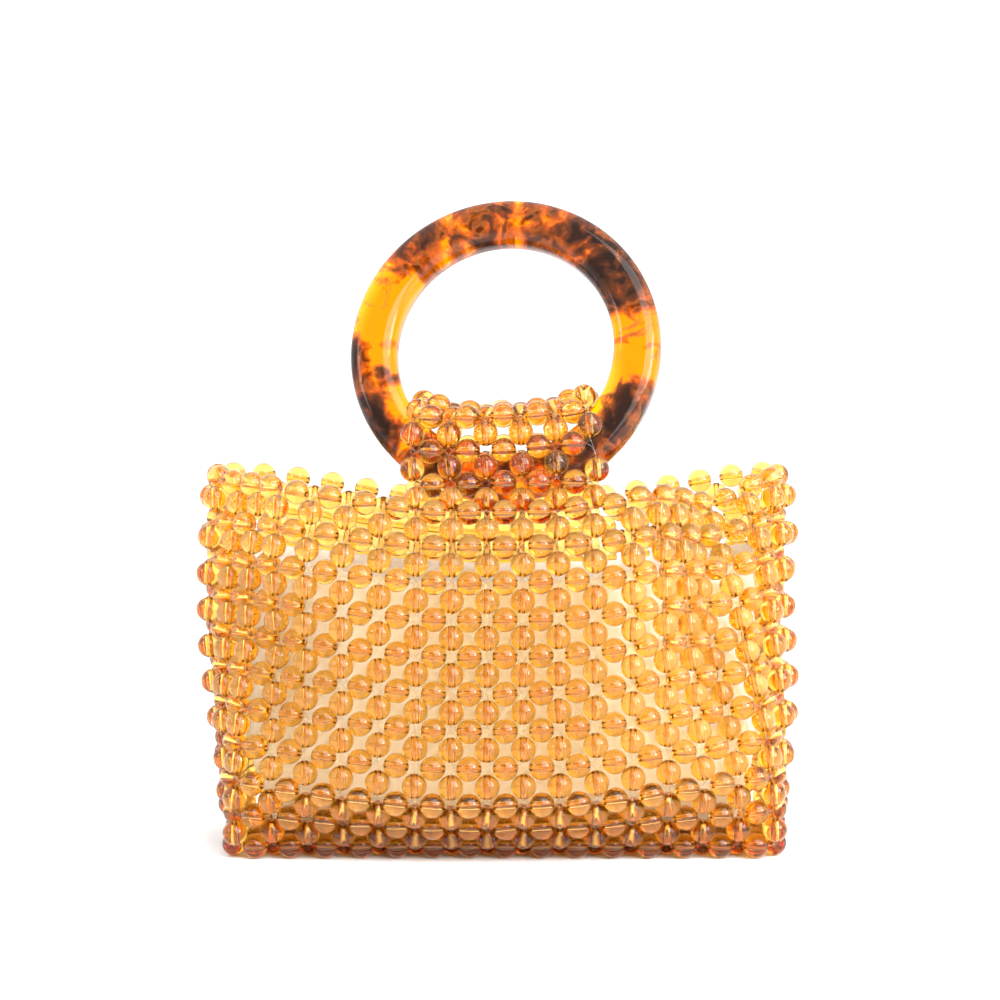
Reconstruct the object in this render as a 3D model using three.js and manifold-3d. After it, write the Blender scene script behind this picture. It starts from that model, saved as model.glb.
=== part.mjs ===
// Beaded evening bag: a basket woven from round beads, with one ring handle held in a beaded band.
// Millimetres, +Z up, the front of the bag faces -Y. The woven panels are hollow walls as thick as
// one bead, raised where each bead sits and lower between the beads.
import * as THREE from 'three';
import Module from 'manifold-3d';
import { mergeVertices } from 'three/addons/utils/BufferGeometryUtils.js';

// Beads and weave
const beadDiameter = 10;
const threadSlack = 0.06; // spare thread in one cell of the weave
const rowSlack = 0.2; // more spare thread up a wall, which its weight pulls out
const columnsAcross = 15; // cells along the front and the back
const columnsDeep = 5; // cells along each side
const rowsHigh = 10; // cells from the base to the rim
const bandColumns = 5; // cells across the handle band
const valleyShare = 0.5; // wall thickness between beads, as a share of a bead

// Ring handle
const ringOuterRadius = 63;
const ringHoleRadius = 44;
const ringDepth = 15;
const ringRounding = 6; // corner radius of the ring's section
const ringLeanDeg = 20;
const ringYawDeg = 9;
const ringClearance = 0.5; // running gap between the ring and the band
const ringSetBack = 2; // from the middle of the band's fold

// Lining pouch
const liningWall = 1.2;
const liningInset = 2.6; // space between the beads and the lining
const liningRows = 8.3; // its height in rows of the weave

// Fits
const seamGap = 0.3; // gap between neighbouring pieces
const bandEndGap = 0.7; // gap between the band and the rim, which meet at a slight angle

// Sizes that follow
const beadRadius = beadDiameter / 2;
const cell = beadDiameter * Math.SQRT2 + threadSlack;
const upCell = cell + rowSlack; // the same up a wall
const stepsHalfRound = columnsAcross + columnsDeep; // from the front centre to the back centre
const frontCorner = columnsAcross / 2;
const backCorner = frontCorner + columnsDeep;
const degree = Math.PI / 180;

// Direction of each cell of a row, in degrees away from the front's own line, counted from the
// front centre outwards. 90 runs straight back and 180 runs along the back.
// Levels: base edge, two rows up, the full belly, the rim.
const levelRows = [0, 0.2, 0.6, 1]; // shares of the height in rows
const rightTurns = [
  { step: 1, base: 0, low: 1, belly: 0, rim: 0 },
  { step: 3, base: 0, low: 8, belly: 7, rim: 4 },
  { step: 4, base: 0, low: 12, belly: 29, rim: 42 },
  { step: 5, base: 0, low: 11, belly: 43, rim: 55 },
  { step: 6, base: 0, low: 18, belly: 50, rim: 61 },
  { step: 7, base: 0, low: 20, belly: 17, rim: 48 },
  { step: 8, base: 90, low: 68, belly: 46, rim: 28 },
  { step: 9, base: 90, low: 84, belly: 68, rim: 52 },
  { step: 10, base: 90, low: 92, belly: 90, rim: 70 },
  { step: 11, base: 90, low: 94, belly: 96, rim: 96 },
  { step: 12, base: 90, low: 92, belly: 104, rim: 146 },
  { step: 13, base: 180, low: 105, belly: 140, rim: 176 },
  { step: 14, base: 180, low: 165, belly: 180, rim: 184 },
  { step: 18, base: 180, low: 182, belly: 182, rim: 184 },
  { step: 20, base: 180, low: 180, belly: 180, rim: 182 },
];
const leftTurns = [
  { step: 1, base: 0, low: -1, belly: 0, rim: 0 },
  { step: 3, base: 0, low: 6, belly: 1, rim: 0 },
  { step: 4, base: 0, low: 8, belly: 4, rim: 0 },
  { step: 5, base: 0, low: 10, belly: 18, rim: 14 },
  { step: 6, base: 0, low: 12, belly: 34, rim: 26 },
  { step: 7, base: 0, low: 20, belly: 36, rim: 52 },
  { step: 8, base: 90, low: 64, belly: 46, rim: 56 },
  { step: 9, base: 90, low: 84, belly: 54, rim: 54 },
  { step: 10, base: 90, low: 90, belly: 88, rim: 78 },
  { step: 11, base: 90, low: 94, belly: 96, rim: 98 },
  { step: 12, base: 90, low: 94, belly: 102, rim: 130 },
  { step: 13, base: 180, low: 105, belly: 138, rim: 172 },
  { step: 14, base: 180, low: 165, belly: 176, rim: 182 },
  { step: 18, base: 180, low: 180, belly: 180, rim: 184 },
  { step: 20, base: 180, low: 180, belly: 180, rim: 182 },
];

// Distance of each row's front centre and back centre from the ring, in cells. The front sags
// forward over the base and is drawn back to the ring at the rim.
const centreLines = [
  { row: 0, front: -1.9, back: 3.1 },
  { row: 1, front: -2.68, back: 3.85 },
  { row: 2, front: -3.37, back: 4.4 },
  { row: 3, front: -3.27, back: 4.5 },
  { row: 5, front: -3.02, back: 4.45 },
  { row: 6, front: -2.88, back: 4.25 },
  { row: 7, front: -2.72, back: 3.9 },
  { row: 8, front: -2.5, back: 3.4 },
  { row: 9, front: -2.18, back: 2.8 },
  { row: 10, front: -1.75, back: 2.15 },
];

// Lean of each cell of the band from upright, from the front rim over the ring to the back rim.
const bandTurns = [37, 12, 10, 67, 106, 174, 168, 160];
const bandLeanDeg = 3.2; // the band leans to the left in its own plane
const foldWidthShare = 0.74; // half width of the fold, as a share of the ring's hole
const narrowPower = 8; // how suddenly the band narrows on its way up to the fold
const foldSag = 6; // how far the middle of the fold hangs below its ends
const foldShift = 2.5; // how far the fold and the ring lie to the right of the leaning band

// Straight-line reading of a table column between its rows.
function readTable(table, key, at, value) {
  const last = table.length - 1;
  if (at <= table[0][key]) return table[0][value];
  if (at >= table[last][key]) return table[last][value];
  const upper = table.findIndex((entry) => entry[key] >= at);
  const low = table[upper - 1];
  const high = table[upper];
  const share = (at - low[key]) / (high[key] - low[key]);
  return THREE.MathUtils.lerp(low[value], high[value], share);
}

// Direction in radians of one cell of a row.
function cellTurn(turns, step, row) {
  const names = ['base', 'low', 'belly', 'rim'];
  const tableStep = (step * turns[turns.length - 1].step) / stepsHalfRound;
  const levels = names.map((name, index) => ({
    row: levelRows[index] * rowsHigh,
    turn: readTable(turns, 'step', tableStep, name),
  }));
  return readTable(levels, 'row', row, 'turn') * degree;
}

// Plan points of one row from the front centre to the back centre, one at each half step.
function halfRow(turns, row, side) {
  const tableRow = (row * centreLines[centreLines.length - 1].row) / rowsHigh;
  const start = readTable(centreLines, 'row', tableRow, 'front') * cell;
  const end = readTable(centreLines, 'row', tableRow, 'back') * cell;
  const points = [new THREE.Vector2(0, start)];
  for (let half = 1; half <= 2 * stepsHalfRound; half += 1) {
    const turn = cellTurn(turns, Math.floor(half / 2), row);
    const stride = new THREE.Vector2(side * Math.cos(turn), Math.sin(turn));
    points.push(points[half - 1].clone().addScaledVector(stride, cell / 2));
  }
  // The small error left at the back centre is shared out behind the front corner.
  const miss = new THREE.Vector2(0, end).sub(points[points.length - 1]);
  return points.map((point, half) => {
    const share = Math.max(0, (half / 2 - frontCorner) / (stepsHalfRound - frontCorner));
    return point.addScaledVector(miss, share);
  });
}

// The weave's mid surface: rows of points, one at each half step round the bag. The height of a
// row follows from the row below, because each cell keeps its length.
function weaveRows() {
  const rows = [];
  for (let row = 0; row <= rowsHigh; row += 1) {
    const right = halfRow(rightTurns, row, 1);
    const left = halfRow(leftTurns, row, -1);
    const plan = [...left.slice(1, -1).reverse(), ...right];
    rows.push(plan.map((point, index) => {
      if (row === 0) return new THREE.Vector3(point.x, point.y, beadRadius);
      const below = rows[row - 1][index];
      const across = Math.hypot(point.x - below.x, point.y - below.y);
      const rise = Math.sqrt(Math.max(upCell * upCell - across * across, 0));
      return new THREE.Vector3(point.x, point.y, below.z + rise);
    }));
  }
  return rows;
}

const rows = weaveRows();
const halfStepsRound = 4 * stepsHalfRound;
const frontCentreIndex = 2 * stepsHalfRound - 1;

// Point of the mid surface, counted in half steps from the front centre and half rows up.
function weavePoint(halfStep, halfRowUp) {
  const wrapped = ((frontCentreIndex + halfStep) % halfStepsRound + halfStepsRound) % halfStepsRound;
  const low = rows[Math.floor(halfRowUp / 2)][wrapped];
  const high = rows[Math.ceil(halfRowUp / 2)][wrapped];
  return low.clone().lerp(high, 0.5);
}

// Outward direction of a surface given by a point function.
function normalAt(pointAt, along, up, alongMax, upMax) {
  const before = pointAt(Math.max(along - 1, -alongMax), up);
  const after = pointAt(Math.min(along + 1, alongMax), up);
  const below = pointAt(along, Math.max(up - 1, 0));
  const above = pointAt(along, Math.min(up + 1, upMax));
  return after.sub(before).cross(above.sub(below)).normalize();
}

// Closed slab from two grids of points, the outer and the inner face. Each square is split along
// its two low points, so that every bead point stands up as a small pyramid.
function slabGeometry(outer, inner, firstIsBead) {
  const columns = outer.length;
  const count = outer[0].length;
  const positions = [...outer.flat(), ...inner.flat()].flatMap((point) => point.toArray());
  const index = [];
  const id = (face, column, row) => face * columns * count + column * count + row;
  const quad = (a, b, c, d) => index.push(a, b, c, a, c, d);
  for (let c = 0; c < columns - 1; c += 1) {
    for (let r = 0; r < count - 1; r += 1) {
      const front = [id(0, c, r), id(0, c + 1, r), id(0, c + 1, r + 1), id(0, c, r + 1)];
      const rear = [id(1, c, r), id(1, c, r + 1), id(1, c + 1, r + 1), id(1, c + 1, r)];
      if (((c + r) % 2 === 0) === firstIsBead) {
        front.push(front.shift());
        rear.push(rear.shift());
      }
      quad(...front);
      quad(...rear);
    }
    quad(id(0, c, 0), id(1, c, 0), id(1, c + 1, 0), id(0, c + 1, 0));
    quad(id(0, c, count - 1), id(0, c + 1, count - 1), id(1, c + 1, count - 1), id(1, c, count - 1));
  }
  for (let r = 0; r < count - 1; r += 1) {
    quad(id(0, 0, r), id(0, 0, r + 1), id(1, 0, r + 1), id(1, 0, r));
    quad(id(0, columns - 1, r), id(1, columns - 1, r), id(1, columns - 1, r + 1), id(0, columns - 1, r + 1));
  }
  const geometry = new THREE.BufferGeometry();
  geometry.setAttribute('position', new THREE.Float32BufferAttribute(positions, 3));
  geometry.setIndex(index);
  return geometry;
}

// Booleans
const wasm = await Module();
wasm.setup();

function toSolid(geometry) {
  const bare = geometry.clone();
  bare.deleteAttribute('normal');
  bare.deleteAttribute('uv');
  const merged = mergeVertices(bare, 1e-4);
  return new wasm.Manifold(new wasm.Mesh({
    numProp: 3,
    vertProperties: Float32Array.from(merged.attributes.position.array),
    triVerts: Uint32Array.from(merged.index.array),
  }));
}

function toGeometry(solid) {
  const mesh = solid.getMesh();
  const geometry = new THREE.BufferGeometry();
  geometry.setAttribute('position', new THREE.Float32BufferAttribute(mesh.vertProperties, 3));
  geometry.setIndex(Array.from(mesh.triVerts));
  return geometry;
}

// Woven panel between two half steps, with a raised point at each bead and a rounded top edge.
const topRow = 2 * rowsHigh;
const edgeReach = 0.72; // how far the rim's edge stands over the last row, in bead radii
const edgeThickness = 0.45; // thickness of that edge, as a share of a bead

function panelGeometry(firstHalfStep, lastHalfStep) {
  const outer = [];
  const inner = [];
  for (let along = firstHalfStep; along <= lastHalfStep; along += 1) {
    const outerColumn = [];
    const innerColumn = [];
    let side = 0;
    if (along === firstHalfStep) side = 1;
    if (along === lastHalfStep) side = -1;
    const neighbour = (up) => weavePoint(along + side, up).sub(weavePoint(along, up)).normalize();
    const pointAt = (up) => weavePoint(along, up).addScaledVector(neighbour(up), (Math.abs(side) * seamGap) / 2);
    for (let up = 0; up <= topRow; up += 1) {
      const isBead = (along + up) % 2 === 0;
      const reach = beadRadius * (isBead ? 1 : valleyShare);
      const normal = normalAt(weavePoint, along, up, halfStepsRound, topRow);
      outerColumn.push(pointAt(up).addScaledVector(normal, reach));
      innerColumn.push(pointAt(up).addScaledVector(normal, -reach));
      if (up === topRow) {
        const rise = weavePoint(along, up).sub(weavePoint(along, up - 1)).normalize();
        const edge = pointAt(up).addScaledVector(rise, beadRadius * edgeReach * (isBead ? 1 : 0.3));
        outerColumn.push(edge.clone().addScaledVector(normal, beadRadius * edgeThickness));
        innerColumn.push(edge.clone().addScaledVector(normal, -beadRadius * edgeThickness));
      }
    }
    outer.push(outerColumn);
    inner.push(innerColumn);
  }
  return slabGeometry(outer, inner, firstHalfStep % 2 === 0);
}

// Base slab: the rectangle of the lowest row, one bead thick, flat below.
const baseLength = columnsAcross * cell;
const baseDepth = columnsDeep * cell;
const baseMiddle = (rows[0][frontCentreIndex].y + rows[0][halfStepsRound - 1].y) / 2;

function baseGeometry(extra) {
  const halfLength = baseLength / 2 + beadRadius + extra;
  const halfDepth = baseDepth / 2 + beadRadius + extra;
  const round = beadRadius + extra;
  const outline = new THREE.Shape();
  outline.moveTo(-halfLength + round, -halfDepth);
  outline.absarc(halfLength - round, -halfDepth + round, round, -Math.PI / 2, 0);
  outline.absarc(halfLength - round, halfDepth - round, round, 0, Math.PI / 2);
  outline.absarc(-halfLength + round, halfDepth - round, round, Math.PI / 2, Math.PI);
  outline.absarc(-halfLength + round, -halfDepth + round, round, Math.PI, Math.PI * 1.5);
  const depth = beadDiameter + 2 * extra;
  const geometry = new THREE.ExtrudeGeometry(outline, { depth, bevelEnabled: false, curveSegments: 5 });
  return geometry.translate(0, baseMiddle, -extra);
}

const grownBase = toSolid(baseGeometry(seamGap));

// Band of the handle: its side profile, cell by cell, from the front rim to the back rim.
const frontRim = rows[rowsHigh][frontCentreIndex];
const backRim = rows[rowsHigh][halfStepsRound - 1];

function bandProfile() {
  const points = [new THREE.Vector2(frontRim.y, frontRim.z)];
  bandTurns.forEach((turn) => {
    const stride = new THREE.Vector2(Math.sin(turn * degree), Math.cos(turn * degree));
    points.push(points[points.length - 1].clone().addScaledVector(stride, cell));
  });
  const miss = new THREE.Vector2(backRim.y, backRim.z).sub(points[points.length - 1]);
  return points.map((point, index) => point.addScaledVector(miss, index / bandTurns.length));
}

const profile = bandProfile();
const foldIndex = bandTurns.length / 2;
const foldPoint = profile[foldIndex];
const foldRise = foldPoint.y - frontRim.z;
const foldHalfWidth = foldWidthShare * ringHoleRadius;

// Point of the band with straight ends, in half steps across and half cells along.
function straightBandPoint(halfStep, halfAlong) {
  const low = profile[Math.floor(halfAlong / 2)];
  const high = profile[Math.ceil(halfAlong / 2)];
  const place = low.clone().lerp(high, 0.5);
  const height = (place.y - frontRim.z) / foldRise;
  const pinch = Math.max(height, 0) ** narrowPower;
  const narrowing = THREE.MathUtils.lerp(1, foldHalfWidth / ((bandColumns * cell) / 2), pinch);
  const across = (halfStep * cell * narrowing) / 2;
  const lean = Math.tan(bandLeanDeg * degree) * height;
  const middle = foldShift * pinch - lean * foldRise;
  const sag = foldSag * pinch * (1 - (halfStep / bandColumns) ** 2);
  return new THREE.Vector3(middle + across, place.x, place.y + lean * across - sag);
}

// Point of the band's mid surface. Its first and its last cell bend to the line of the two rims.
function bandPoint(halfStep, halfAlong) {
  const last = 2 * bandTurns.length;
  const frontShare = Math.max(0, 1 - halfAlong / 2);
  const backShare = Math.max(0, 1 - (last - halfAlong) / 2);
  const toFront = weavePoint(halfStep, topRow).sub(straightBandPoint(halfStep, 0));
  const toBack = weavePoint(2 * stepsHalfRound - halfStep, topRow).sub(straightBandPoint(halfStep, last));
  return straightBandPoint(halfStep, halfAlong)
    .addScaledVector(toFront, frontShare)
    .addScaledVector(toBack, backShare);
}

function bandGeometry() {
  const outer = [];
  const inner = [];
  const last = 2 * bandTurns.length;
  const start = beadRadius * edgeReach + bandEndGap;
  for (let along = -bandColumns; along <= bandColumns; along += 1) {
    const outerColumn = [];
    const innerColumn = [];
    for (let up = 0; up <= last; up += 1) {
      const isEnd = up === 0 || up === last;
      const isBead = (along + up) % 2 === 0;
      const reach = beadRadius * (isEnd ? edgeThickness : isBead ? 1 : valleyShare);
      const normal = normalAt(bandPoint, along, up, bandColumns, last);
      const point = bandPoint(along, up);
      if (isEnd) {
        const inward = bandPoint(along, up === 0 ? 1 : last - 1).sub(point).normalize();
        point.addScaledVector(inward, start);
      }
      outerColumn.push(point.clone().addScaledVector(normal, reach));
      innerColumn.push(point.clone().addScaledVector(normal, -reach));
    }
    outer.push(outerColumn);
    inner.push(innerColumn);
  }
  return slabGeometry(outer, inner, bandColumns % 2 === 0);
}

// Ring: a rounded section turned about the ring's own axis, which is +Y before it is placed.
function ringGeometry(extra, segments) {
  const innerRadius = ringHoleRadius - extra;
  const outerRadius = ringOuterRadius + extra;
  const half = ringDepth / 2 + extra;
  const corners = [
    { radius: outerRadius - ringRounding, side: -half + ringRounding, from: -90 },
    { radius: outerRadius - ringRounding, side: half - ringRounding, from: 0 },
    { radius: innerRadius + ringRounding, side: half - ringRounding, from: 90 },
    { radius: innerRadius + ringRounding, side: -half + ringRounding, from: 180 },
  ];
  const outline = corners.flatMap((corner) => [0, 45, 90].map((turn) => new THREE.Vector2(
    corner.radius + ringRounding * Math.cos((corner.from + turn) * degree),
    corner.side + ringRounding * Math.sin((corner.from + turn) * degree),
  )));
  outline.push(outline[0].clone());
  return new THREE.LatheGeometry(outline, segments);
}

// The fold of the band rests on the hole's curve at its two ends, which sets the ring's height.
const seatRadius = ringHoleRadius - beadRadius - ringClearance;
const seatDrop = Math.sqrt(Math.max(seatRadius * seatRadius - foldHalfWidth * foldHalfWidth, 0));
const ringCentre = new THREE.Vector3(
  foldShift - Math.tan(bandLeanDeg * degree) * foldRise,
  foldPoint.x + seatDrop * Math.sin(ringLeanDeg * degree) + ringSetBack,
  foldPoint.y + seatDrop * Math.cos(ringLeanDeg * degree),
);

function placeRing(object) {
  object.rotation.set(-ringLeanDeg * degree, 0, -ringYawDeg * degree, 'ZXY');
  object.position.copy(ringCentre);
}

function ringCutter() {
  const cutter = new THREE.Mesh(ringGeometry(ringClearance, 96));
  placeRing(cutter);
  cutter.updateMatrix();
  return toSolid(cutter.geometry.clone().applyMatrix4(cutter.matrix));
}

// Lining: a thin pouch inside the weave, open at the top.
function liningGeometry() {
  const top = Math.floor(liningRows * 2);
  const levels = [];
  for (let up = 1; up <= top; up += 2) levels.push(up);
  const ringAt = (up, inset) => {
    const loop = [];
    for (let along = -halfStepsRound / 2 + 1; along < halfStepsRound / 2; along += 2) {
      const before = weavePoint(along - 2, up);
      const after = weavePoint(along + 2, up);
      const centre = weavePoint(along, up);
      const tangent = after.sub(before).setZ(0).normalize();
      loop.push(new THREE.Vector3(centre.x - tangent.y * inset, centre.y + tangent.x * inset, centre.z));
    }
    return loop;
  };
  const outerInset = beadRadius + liningInset;
  const outerLoops = levels.map((up) => ringAt(up, outerInset));
  const innerLoops = levels.map((up) => ringAt(up, outerInset + liningWall));
  const floor = beadDiameter + seamGap;
  outerLoops[0].forEach((point) => point.setZ(floor));
  innerLoops[0].forEach((point) => point.setZ(floor + liningWall));
  const loops = [...outerLoops, ...innerLoops.reverse()];
  const count = loops[0].length;
  const positions = loops.flat().flatMap((point) => point.toArray());
  const index = [];
  for (let level = 0; level < loops.length - 1; level += 1) {
    for (let k = 0; k < count; k += 1) {
      const next = (k + 1) % count;
      const a = level * count + k;
      const b = level * count + next;
      index.push(a, b, b + count, a, b + count, a + count);
    }
  }
  [0, loops.length - 1].forEach((level) => {
    const flat = loops[level].map((point) => new THREE.Vector2(point.x, point.y));
    THREE.ShapeUtils.triangulateShape(flat, []).forEach((triangle) => {
      const [a, b, c] = triangle.map((k) => level * count + k);
      if (level === 0) index.push(a, c, b);
      else index.push(a, b, c);
    });
  });
  const geometry = new THREE.BufferGeometry();
  geometry.setAttribute('position', new THREE.Float32BufferAttribute(positions, 3));
  geometry.setIndex(index);
  return geometry;
}

// Materials
const amberBeads = new THREE.MeshStandardMaterial({ color: 0xf2a23c, roughness: 0.12, metalness: 0 });
const tortoiseshell = new THREE.MeshStandardMaterial({ color: 0xb8560f, roughness: 0.1, metalness: 0 });
const creamCloth = new THREE.MeshStandardMaterial({ color: 0xf6e6cc, roughness: 0.9, metalness: 0 });

function makeMesh(name, geometry, material) {
  const mesh = new THREE.Mesh(geometry, material);
  mesh.name = name;
  return mesh;
}

// Assembly
const frontHalf = columnsAcross;
const backHalf = columnsAcross + 2 * columnsDeep;
const panels = [
  { name: 'front_panel', from: -frontHalf, to: frontHalf },
  { name: 'right_gusset', from: frontHalf, to: backHalf },
  { name: 'back_panel', from: backHalf, to: halfStepsRound - backHalf },
  { name: 'left_gusset', from: -backHalf, to: -frontHalf },
];

const bag = new THREE.Group();
panels.forEach((panel) => {
  const wall = toSolid(panelGeometry(panel.from, panel.to)).subtract(grownBase);
  bag.add(makeMesh(panel.name, toGeometry(wall), amberBeads));
});
bag.add(makeMesh('base_panel', baseGeometry(0), amberBeads));
bag.add(makeMesh('handle_band', toGeometry(toSolid(bandGeometry()).subtract(ringCutter())), amberBeads));
bag.add(makeMesh('lining_pouch', liningGeometry(), creamCloth));

const ring = makeMesh('ring_handle', ringGeometry(0, 48), tortoiseshell);
placeRing(ring);
bag.add(ring);

// The bag stands on its base, with the middle of its outline over the origin.
const outline = new THREE.Box3().setFromObject(bag, true);
const middle = outline.getCenter(new THREE.Vector3());
bag.position.set(-middle.x, -middle.y, -outline.min.z);

export default bag;
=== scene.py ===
import math
import random

import bpy
import numpy as np
from mathutils import Matrix, Vector, noise


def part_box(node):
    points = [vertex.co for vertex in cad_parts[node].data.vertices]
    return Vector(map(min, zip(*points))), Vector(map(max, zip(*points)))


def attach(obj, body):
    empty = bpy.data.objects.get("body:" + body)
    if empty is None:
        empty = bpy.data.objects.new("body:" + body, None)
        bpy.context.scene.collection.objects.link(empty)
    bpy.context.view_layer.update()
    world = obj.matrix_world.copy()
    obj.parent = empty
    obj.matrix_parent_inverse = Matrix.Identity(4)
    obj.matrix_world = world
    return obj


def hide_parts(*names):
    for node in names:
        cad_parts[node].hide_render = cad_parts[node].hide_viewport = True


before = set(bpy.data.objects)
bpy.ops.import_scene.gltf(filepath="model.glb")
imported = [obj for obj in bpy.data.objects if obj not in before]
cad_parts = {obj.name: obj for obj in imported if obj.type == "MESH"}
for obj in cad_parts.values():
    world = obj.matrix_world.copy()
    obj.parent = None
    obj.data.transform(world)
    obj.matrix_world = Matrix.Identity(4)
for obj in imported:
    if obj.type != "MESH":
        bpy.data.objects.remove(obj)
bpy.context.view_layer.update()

mm = 0.001
tiny = 1e-6  # keeps a division away from zero

# Beads and weave
beadLook = {
    "diameter": 10 * mm,
    "bore": 2.2 * mm,
    "sides": 22,
    "rings": 10,
    "sizeSpread": 0.012,  # share by which beads differ in size
    "tiltSpread": 0.05,  # how far a bead tips on its thread, in radians
    "restGap": 0.03 * mm,  # least gap between two beads
    "firstSeed": 40,  # each piece draws its chances from a seed of its own, counted up from this
}
weave = {
    "threadSlack": 0.06 * mm,
    "rowSlack": 0.2 * mm,  # more spare thread up a wall, which its weight pulls out
    "columnsAcross": 15,
    "columnsDeep": 5,
    "rowsHigh": 10,
    "bandColumns": 5,
}
beadRadius = beadLook["diameter"] / 2
cell = beadLook["diameter"] * math.sqrt(2) + weave["threadSlack"]
upCell = cell + weave["rowSlack"]
stepsHalfRound = weave["columnsAcross"] + weave["columnsDeep"]
halfStepsRound = 4 * stepsHalfRound
frontCorner = weave["columnsAcross"] / 2
backCorner = frontCorner + weave["columnsDeep"]
rowsHigh = weave["rowsHigh"]

# Direction of each cell of a row in degrees, from the front centre outwards, at four levels:
# step, base edge, two rows up, full belly, rim
levelRows = (0, 2, 6, 10)
rightTurns = (
    (1, 0, 1, 0, 0),
    (3, 0, 8, 7, 4),
    (4, 0, 12, 29, 42),
    (5, 0, 11, 43, 55),
    (6, 0, 18, 50, 61),
    (7, 0, 20, 17, 48),
    (8, 90, 68, 46, 28),
    (9, 90, 84, 68, 52),
    (10, 90, 92, 90, 70),
    (11, 90, 94, 96, 96),
    (12, 90, 92, 104, 146),
    (13, 180, 105, 140, 176),
    (14, 180, 165, 180, 184),
    (18, 180, 182, 182, 184),
    (20, 180, 180, 180, 182),
)
leftTurns = (
    (1, 0, -1, 0, 0),
    (3, 0, 6, 1, 0),
    (4, 0, 8, 4, 0),
    (5, 0, 10, 18, 14),
    (6, 0, 12, 34, 26),
    (7, 0, 20, 36, 52),
    (8, 90, 64, 46, 56),
    (9, 90, 84, 54, 54),
    (10, 90, 90, 88, 78),
    (11, 90, 94, 96, 98),
    (12, 90, 94, 102, 130),
    (13, 180, 105, 138, 172),
    (14, 180, 165, 176, 182),
    (18, 180, 180, 180, 184),
    (20, 180, 180, 180, 182),
)
# Where each row's front centre and back centre lie, in cells from the ring: row, front, back
centreLines = (
    (0, -1.9, 3.1),
    (1, -2.68, 3.85),
    (2, -3.37, 4.4),
    (3, -3.27, 4.5),
    (5, -3.02, 4.45),
    (6, -2.88, 4.25),
    (7, -2.72, 3.9),
    (8, -2.5, 3.4),
    (9, -2.18, 2.8),
    (10, -1.75, 2.15),
)
# The band over the ring
bandLook = {
    "turns": (37, 12, 10, 67, 106, 174, 168, 160),  # lean of each cell from upright, in degrees
    "lean": math.radians(3.2),
    "foldWidthShare": 0.74,
    "narrowPower": 8,  # how suddenly the band narrows on its way up to the fold
    "foldSag": 6 * mm,  # how far the middle of the fold hangs below its ends
    "foldShift": 2.5 * mm,  # how far the fold and the ring lie to the right of the leaning band
}
ringLook = {
    "outerRadius": 63 * mm,
    "holeRadius": 44 * mm,
    "depth": 15 * mm,
    "rounding": 6 * mm,
    "lean": math.radians(20),
    "yaw": math.radians(9),
    "clearance": 0.5 * mm,
    "setBack": 2 * mm,  # from the middle of the fold
    "turnSteps": 240,
    "cornerSteps": 9,  # steps on each rounded corner of the section
    "faceSteps": 3,  # steps on each flat between them
}


def readColumn(table, at, column):
    return float(np.interp(at, [line[0] for line in table], [line[column] for line in table]))


def cellTurn(turns, step, row):
    levels = [readColumn(turns, step, column) for column in (1, 2, 3, 4)]
    return math.radians(float(np.interp(row, levelRows, levels)))


def rowChain(turns, row, side):
    # one half of a row, from the front centre to the back centre, a point at each half step
    points = [np.array([0.0, readColumn(centreLines, row, 1) * cell])]
    for half in range(1, 2 * stepsHalfRound + 1):
        turn = cellTurn(turns, half // 2, row)
        points.append(points[-1] + np.array([side * math.cos(turn), math.sin(turn)]) * cell / 2)
    points = np.array(points)
    miss = np.array([0.0, readColumn(centreLines, row, 2) * cell]) - points[-1]
    share = (np.arange(len(points)) / 2 - frontCorner) / (stepsHalfRound - frontCorner)
    return points + np.clip(share, 0, None)[:, None] * miss


def weaveRows():
    # each row's height follows from the row below, because a cell keeps its length
    rows = np.zeros((rowsHigh + 1, halfStepsRound, 3))
    for row in range(rowsHigh + 1):
        left = rowChain(leftTurns, row, -1)[1:-1][::-1]
        rows[row, :, :2] = np.concatenate([left, rowChain(rightTurns, row, 1)])
        if row == 0:
            rows[row, :, 2] = beadRadius
            continue
        across = np.linalg.norm(rows[row, :, :2] - rows[row - 1, :, :2], axis=1)
        rows[row, :, 2] = rows[row - 1, :, 2] + np.sqrt(np.clip(upCell**2 - across**2, 0, None))
    return rows


rows = weaveRows()
frontCentreIndex = 2 * stepsHalfRound - 1
baseMiddle = (rows[0, frontCentreIndex, 1] + rows[0, -1, 1]) / 2
baseLow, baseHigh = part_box("base_panel")
bagShift = np.array([
    (baseLow[0] + baseHigh[0]) / 2,
    (baseLow[1] + baseHigh[1]) / 2 - baseMiddle,
    baseLow[2],
])
rows += bagShift
print("weave laid out")


def weavePoint(halfStep, row):
    return rows[row, (frontCentreIndex + halfStep) % halfStepsRound]


def basePoint(halfStep, halfDeep):
    front = rows[0, frontCentreIndex]
    return front + np.array([halfStep * cell / 2, halfDeep * cell / 2, 0.0])


# Band: side profile from the front rim over the ring to the back rim
frontRim = weavePoint(0, rowsHigh)
backRim = weavePoint(2 * stepsHalfRound, rowsHigh)


def bandProfile():
    points = [frontRim[1:]]
    for turn in bandLook["turns"]:
        angle = math.radians(turn)
        points.append(points[-1] + np.array([math.sin(angle), math.cos(angle)]) * cell)
    miss = backRim[1:] - points[-1]
    return np.array([point + miss * k / (len(points) - 1) for k, point in enumerate(points)])


profile = bandProfile()
bandCells = len(bandLook["turns"])
foldPoint = profile[bandCells // 2]
foldRise = foldPoint[1] - frontRim[2]
foldHalfWidth = bandLook["foldWidthShare"] * ringLook["holeRadius"]


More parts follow.
